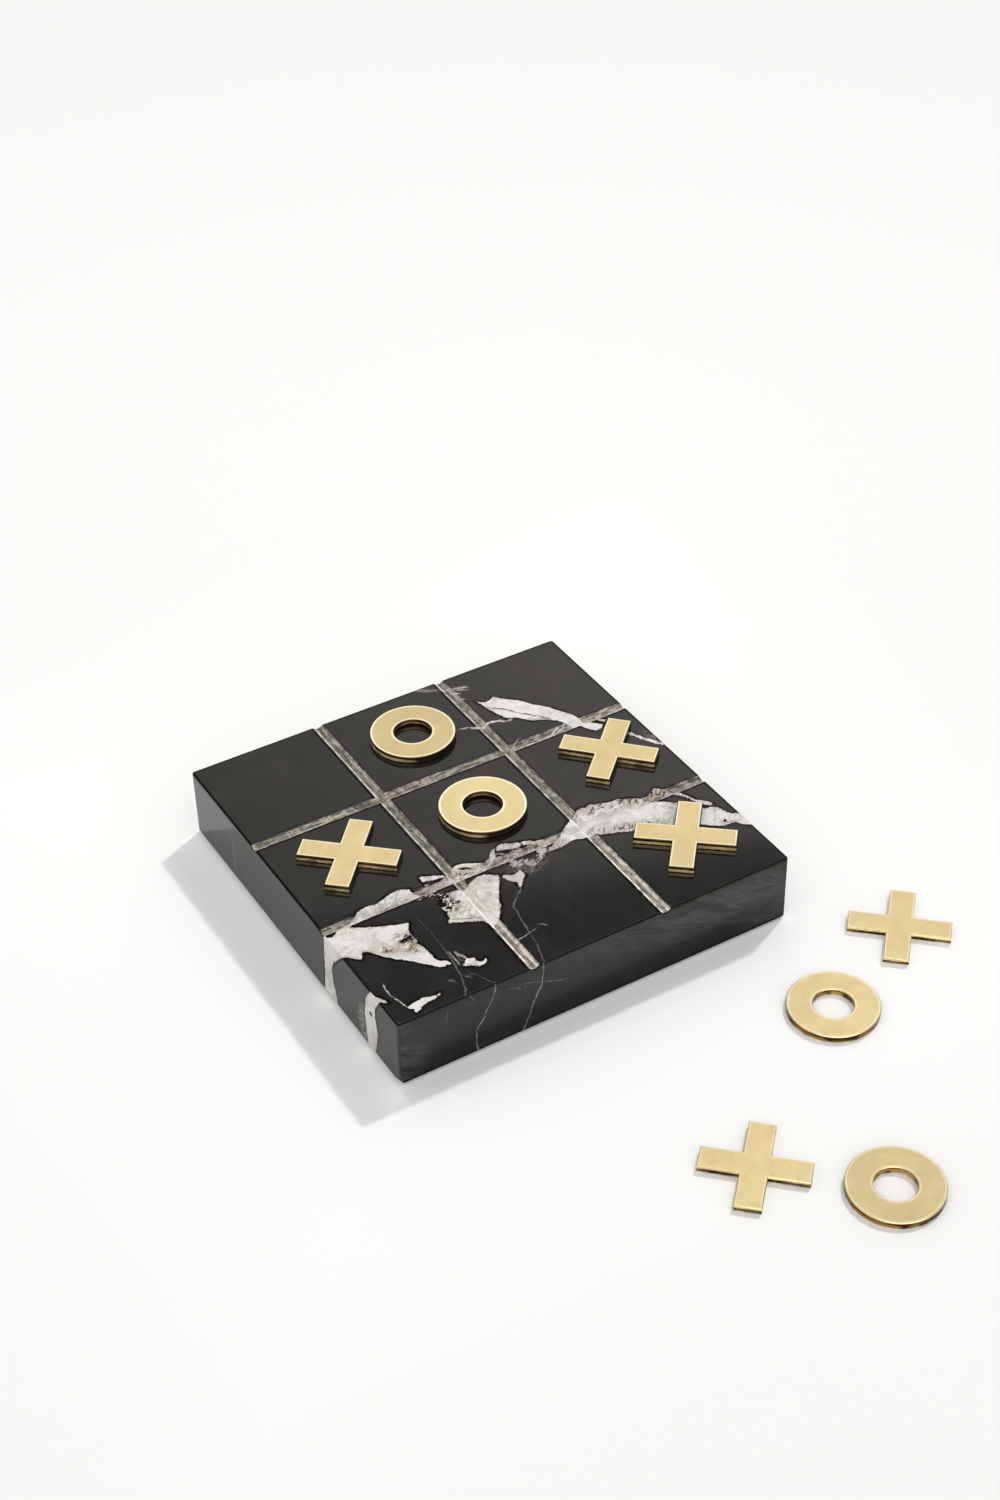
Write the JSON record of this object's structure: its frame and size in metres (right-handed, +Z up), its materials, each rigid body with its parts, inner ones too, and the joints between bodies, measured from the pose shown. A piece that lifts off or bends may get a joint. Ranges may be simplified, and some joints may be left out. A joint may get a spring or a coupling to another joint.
{
  "type": "tic-tac-toe board",
  "caption": "Square black marble tic-tac-toe board with a grid of sawn grooves, played with flat brass crosses and rings that lift off.",
  "frame": {"origin": "on the table, under the middle of the slab", "axes": "+X along the front edge to the right, +Y from the front edge to the back, +Z up"},
  "size_m": [0.1948, 0.2818, 0.0293],
  "materials": {
    "black_marble": "polished top, honed sides, rough sawn grooves",
    "brushed_brass": "brushed faces with bright bevels",
    "felt": "pressed felt"
  },
  "bodies": {
    "board": {"slab": "black_marble", "pad_front_left": "felt", "pad_front_right": "felt", "pad_back_left": "felt", "pad_back_right": "felt"},
    "ring_back": {"ring_back": "brushed_brass"},
    "ring_centre": {"ring_centre": "brushed_brass"},
    "ring_loose_back": {"ring_loose_back": "brushed_brass"},
    "ring_loose_front": {"ring_loose_front": "brushed_brass"},
    "cross_left": {"cross_left": "brushed_brass"},
    "cross_right": {"cross_right": "brushed_brass"},
    "cross_front_right": {"cross_front_right": "brushed_brass"},
    "cross_loose_back": {"cross_loose_back": "brushed_brass"},
    "cross_loose_front": {"cross_loose_front": "brushed_brass"}
  },
  "joints": [
    {"name": "lift_ring_back", "type": "slide", "parent": "board", "child": "ring_back", "axis": [0, 0, 1], "range_m": [0, 0.04]},
    {"name": "lift_ring_centre", "type": "slide", "parent": "board", "child": "ring_centre", "axis": [0, 0, 1], "range_m": [0, 0.04]},
    {"name": "lift_ring_loose_back", "type": "slide", "parent": "board", "child": "ring_loose_back", "axis": [0, 0, 1], "range_m": [0, 0.04]},
    {"name": "lift_ring_loose_front", "type": "slide", "parent": "board", "child": "ring_loose_front", "axis": [0, 0, 1], "range_m": [0, 0.04]},
    {"name": "lift_cross_left", "type": "slide", "parent": "board", "child": "cross_left", "axis": [0, 0, 1], "range_m": [0, 0.04]},
    {"name": "lift_cross_right", "type": "slide", "parent": "board", "child": "cross_right", "axis": [0, 0, 1], "range_m": [0, 0.04]},
    {"name": "lift_cross_front_right", "type": "slide", "parent": "board", "child": "cross_front_right", "axis": [0, 0, 1], "range_m": [0, 0.04]},
    {"name": "lift_cross_loose_back", "type": "slide", "parent": "board", "child": "cross_loose_back", "axis": [0, 0, 1], "range_m": [0, 0.04]},
    {"name": "lift_cross_loose_front", "type": "slide", "parent": "board", "child": "cross_loose_front", "axis": [0, 0, 1], "range_m": [0, 0.04]}
  ]
}
